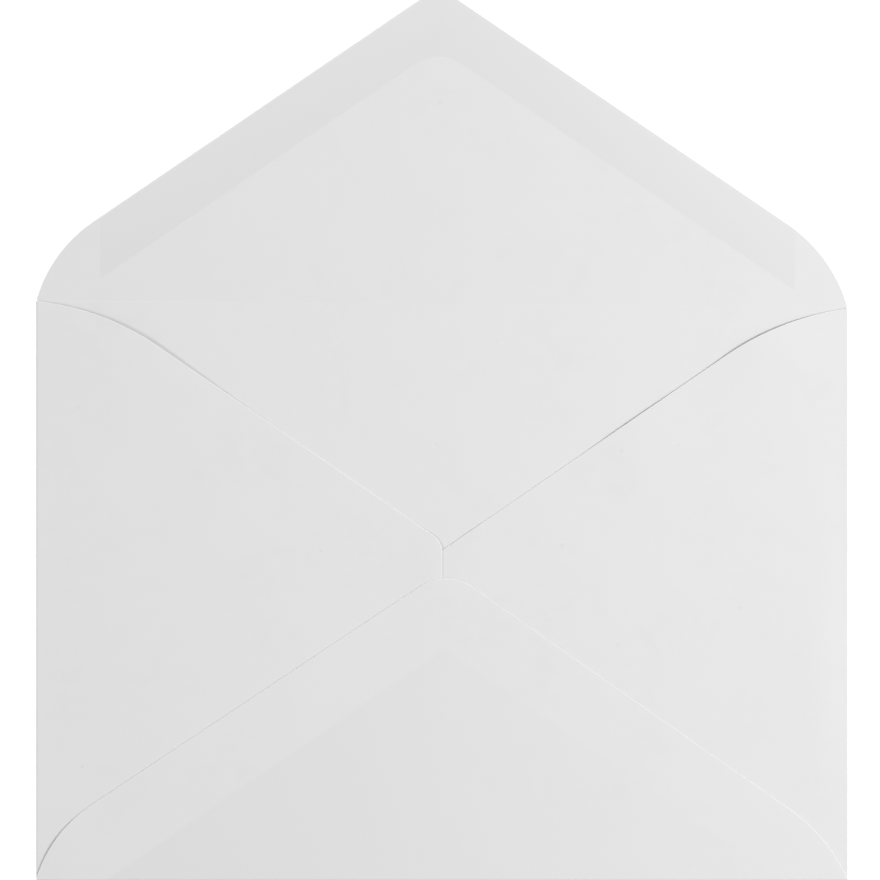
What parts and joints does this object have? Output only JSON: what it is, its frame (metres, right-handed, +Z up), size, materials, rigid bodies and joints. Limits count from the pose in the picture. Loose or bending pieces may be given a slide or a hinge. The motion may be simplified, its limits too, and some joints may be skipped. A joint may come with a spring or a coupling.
{
  "type": "paper envelope",
  "caption": "Open gummed paper envelope with pointed flaps: a folded one-piece sheet with a glued pocket and an unsealed seal flap, lying on its address side",
  "frame": {"origin": "middle of the address panel's outer face, which lies on the table", "axes": "+X across the envelope to the right, +Y from the bottom fold to the open seal flap, +Z up out of the flap side"},
  "size_m": [0.176, 0.1925, 0.0037],
  "materials": {
    "paper": "matte",
    "gum": "satin",
    "seam_glue": "matte"
  },
  "bodies": {
    "root": {"paper_blank": "paper", "seal_gum": "gum", "seam_glue_left": "seam_glue", "seam_glue_right": "seam_glue"}
  },
  "joints": []
}
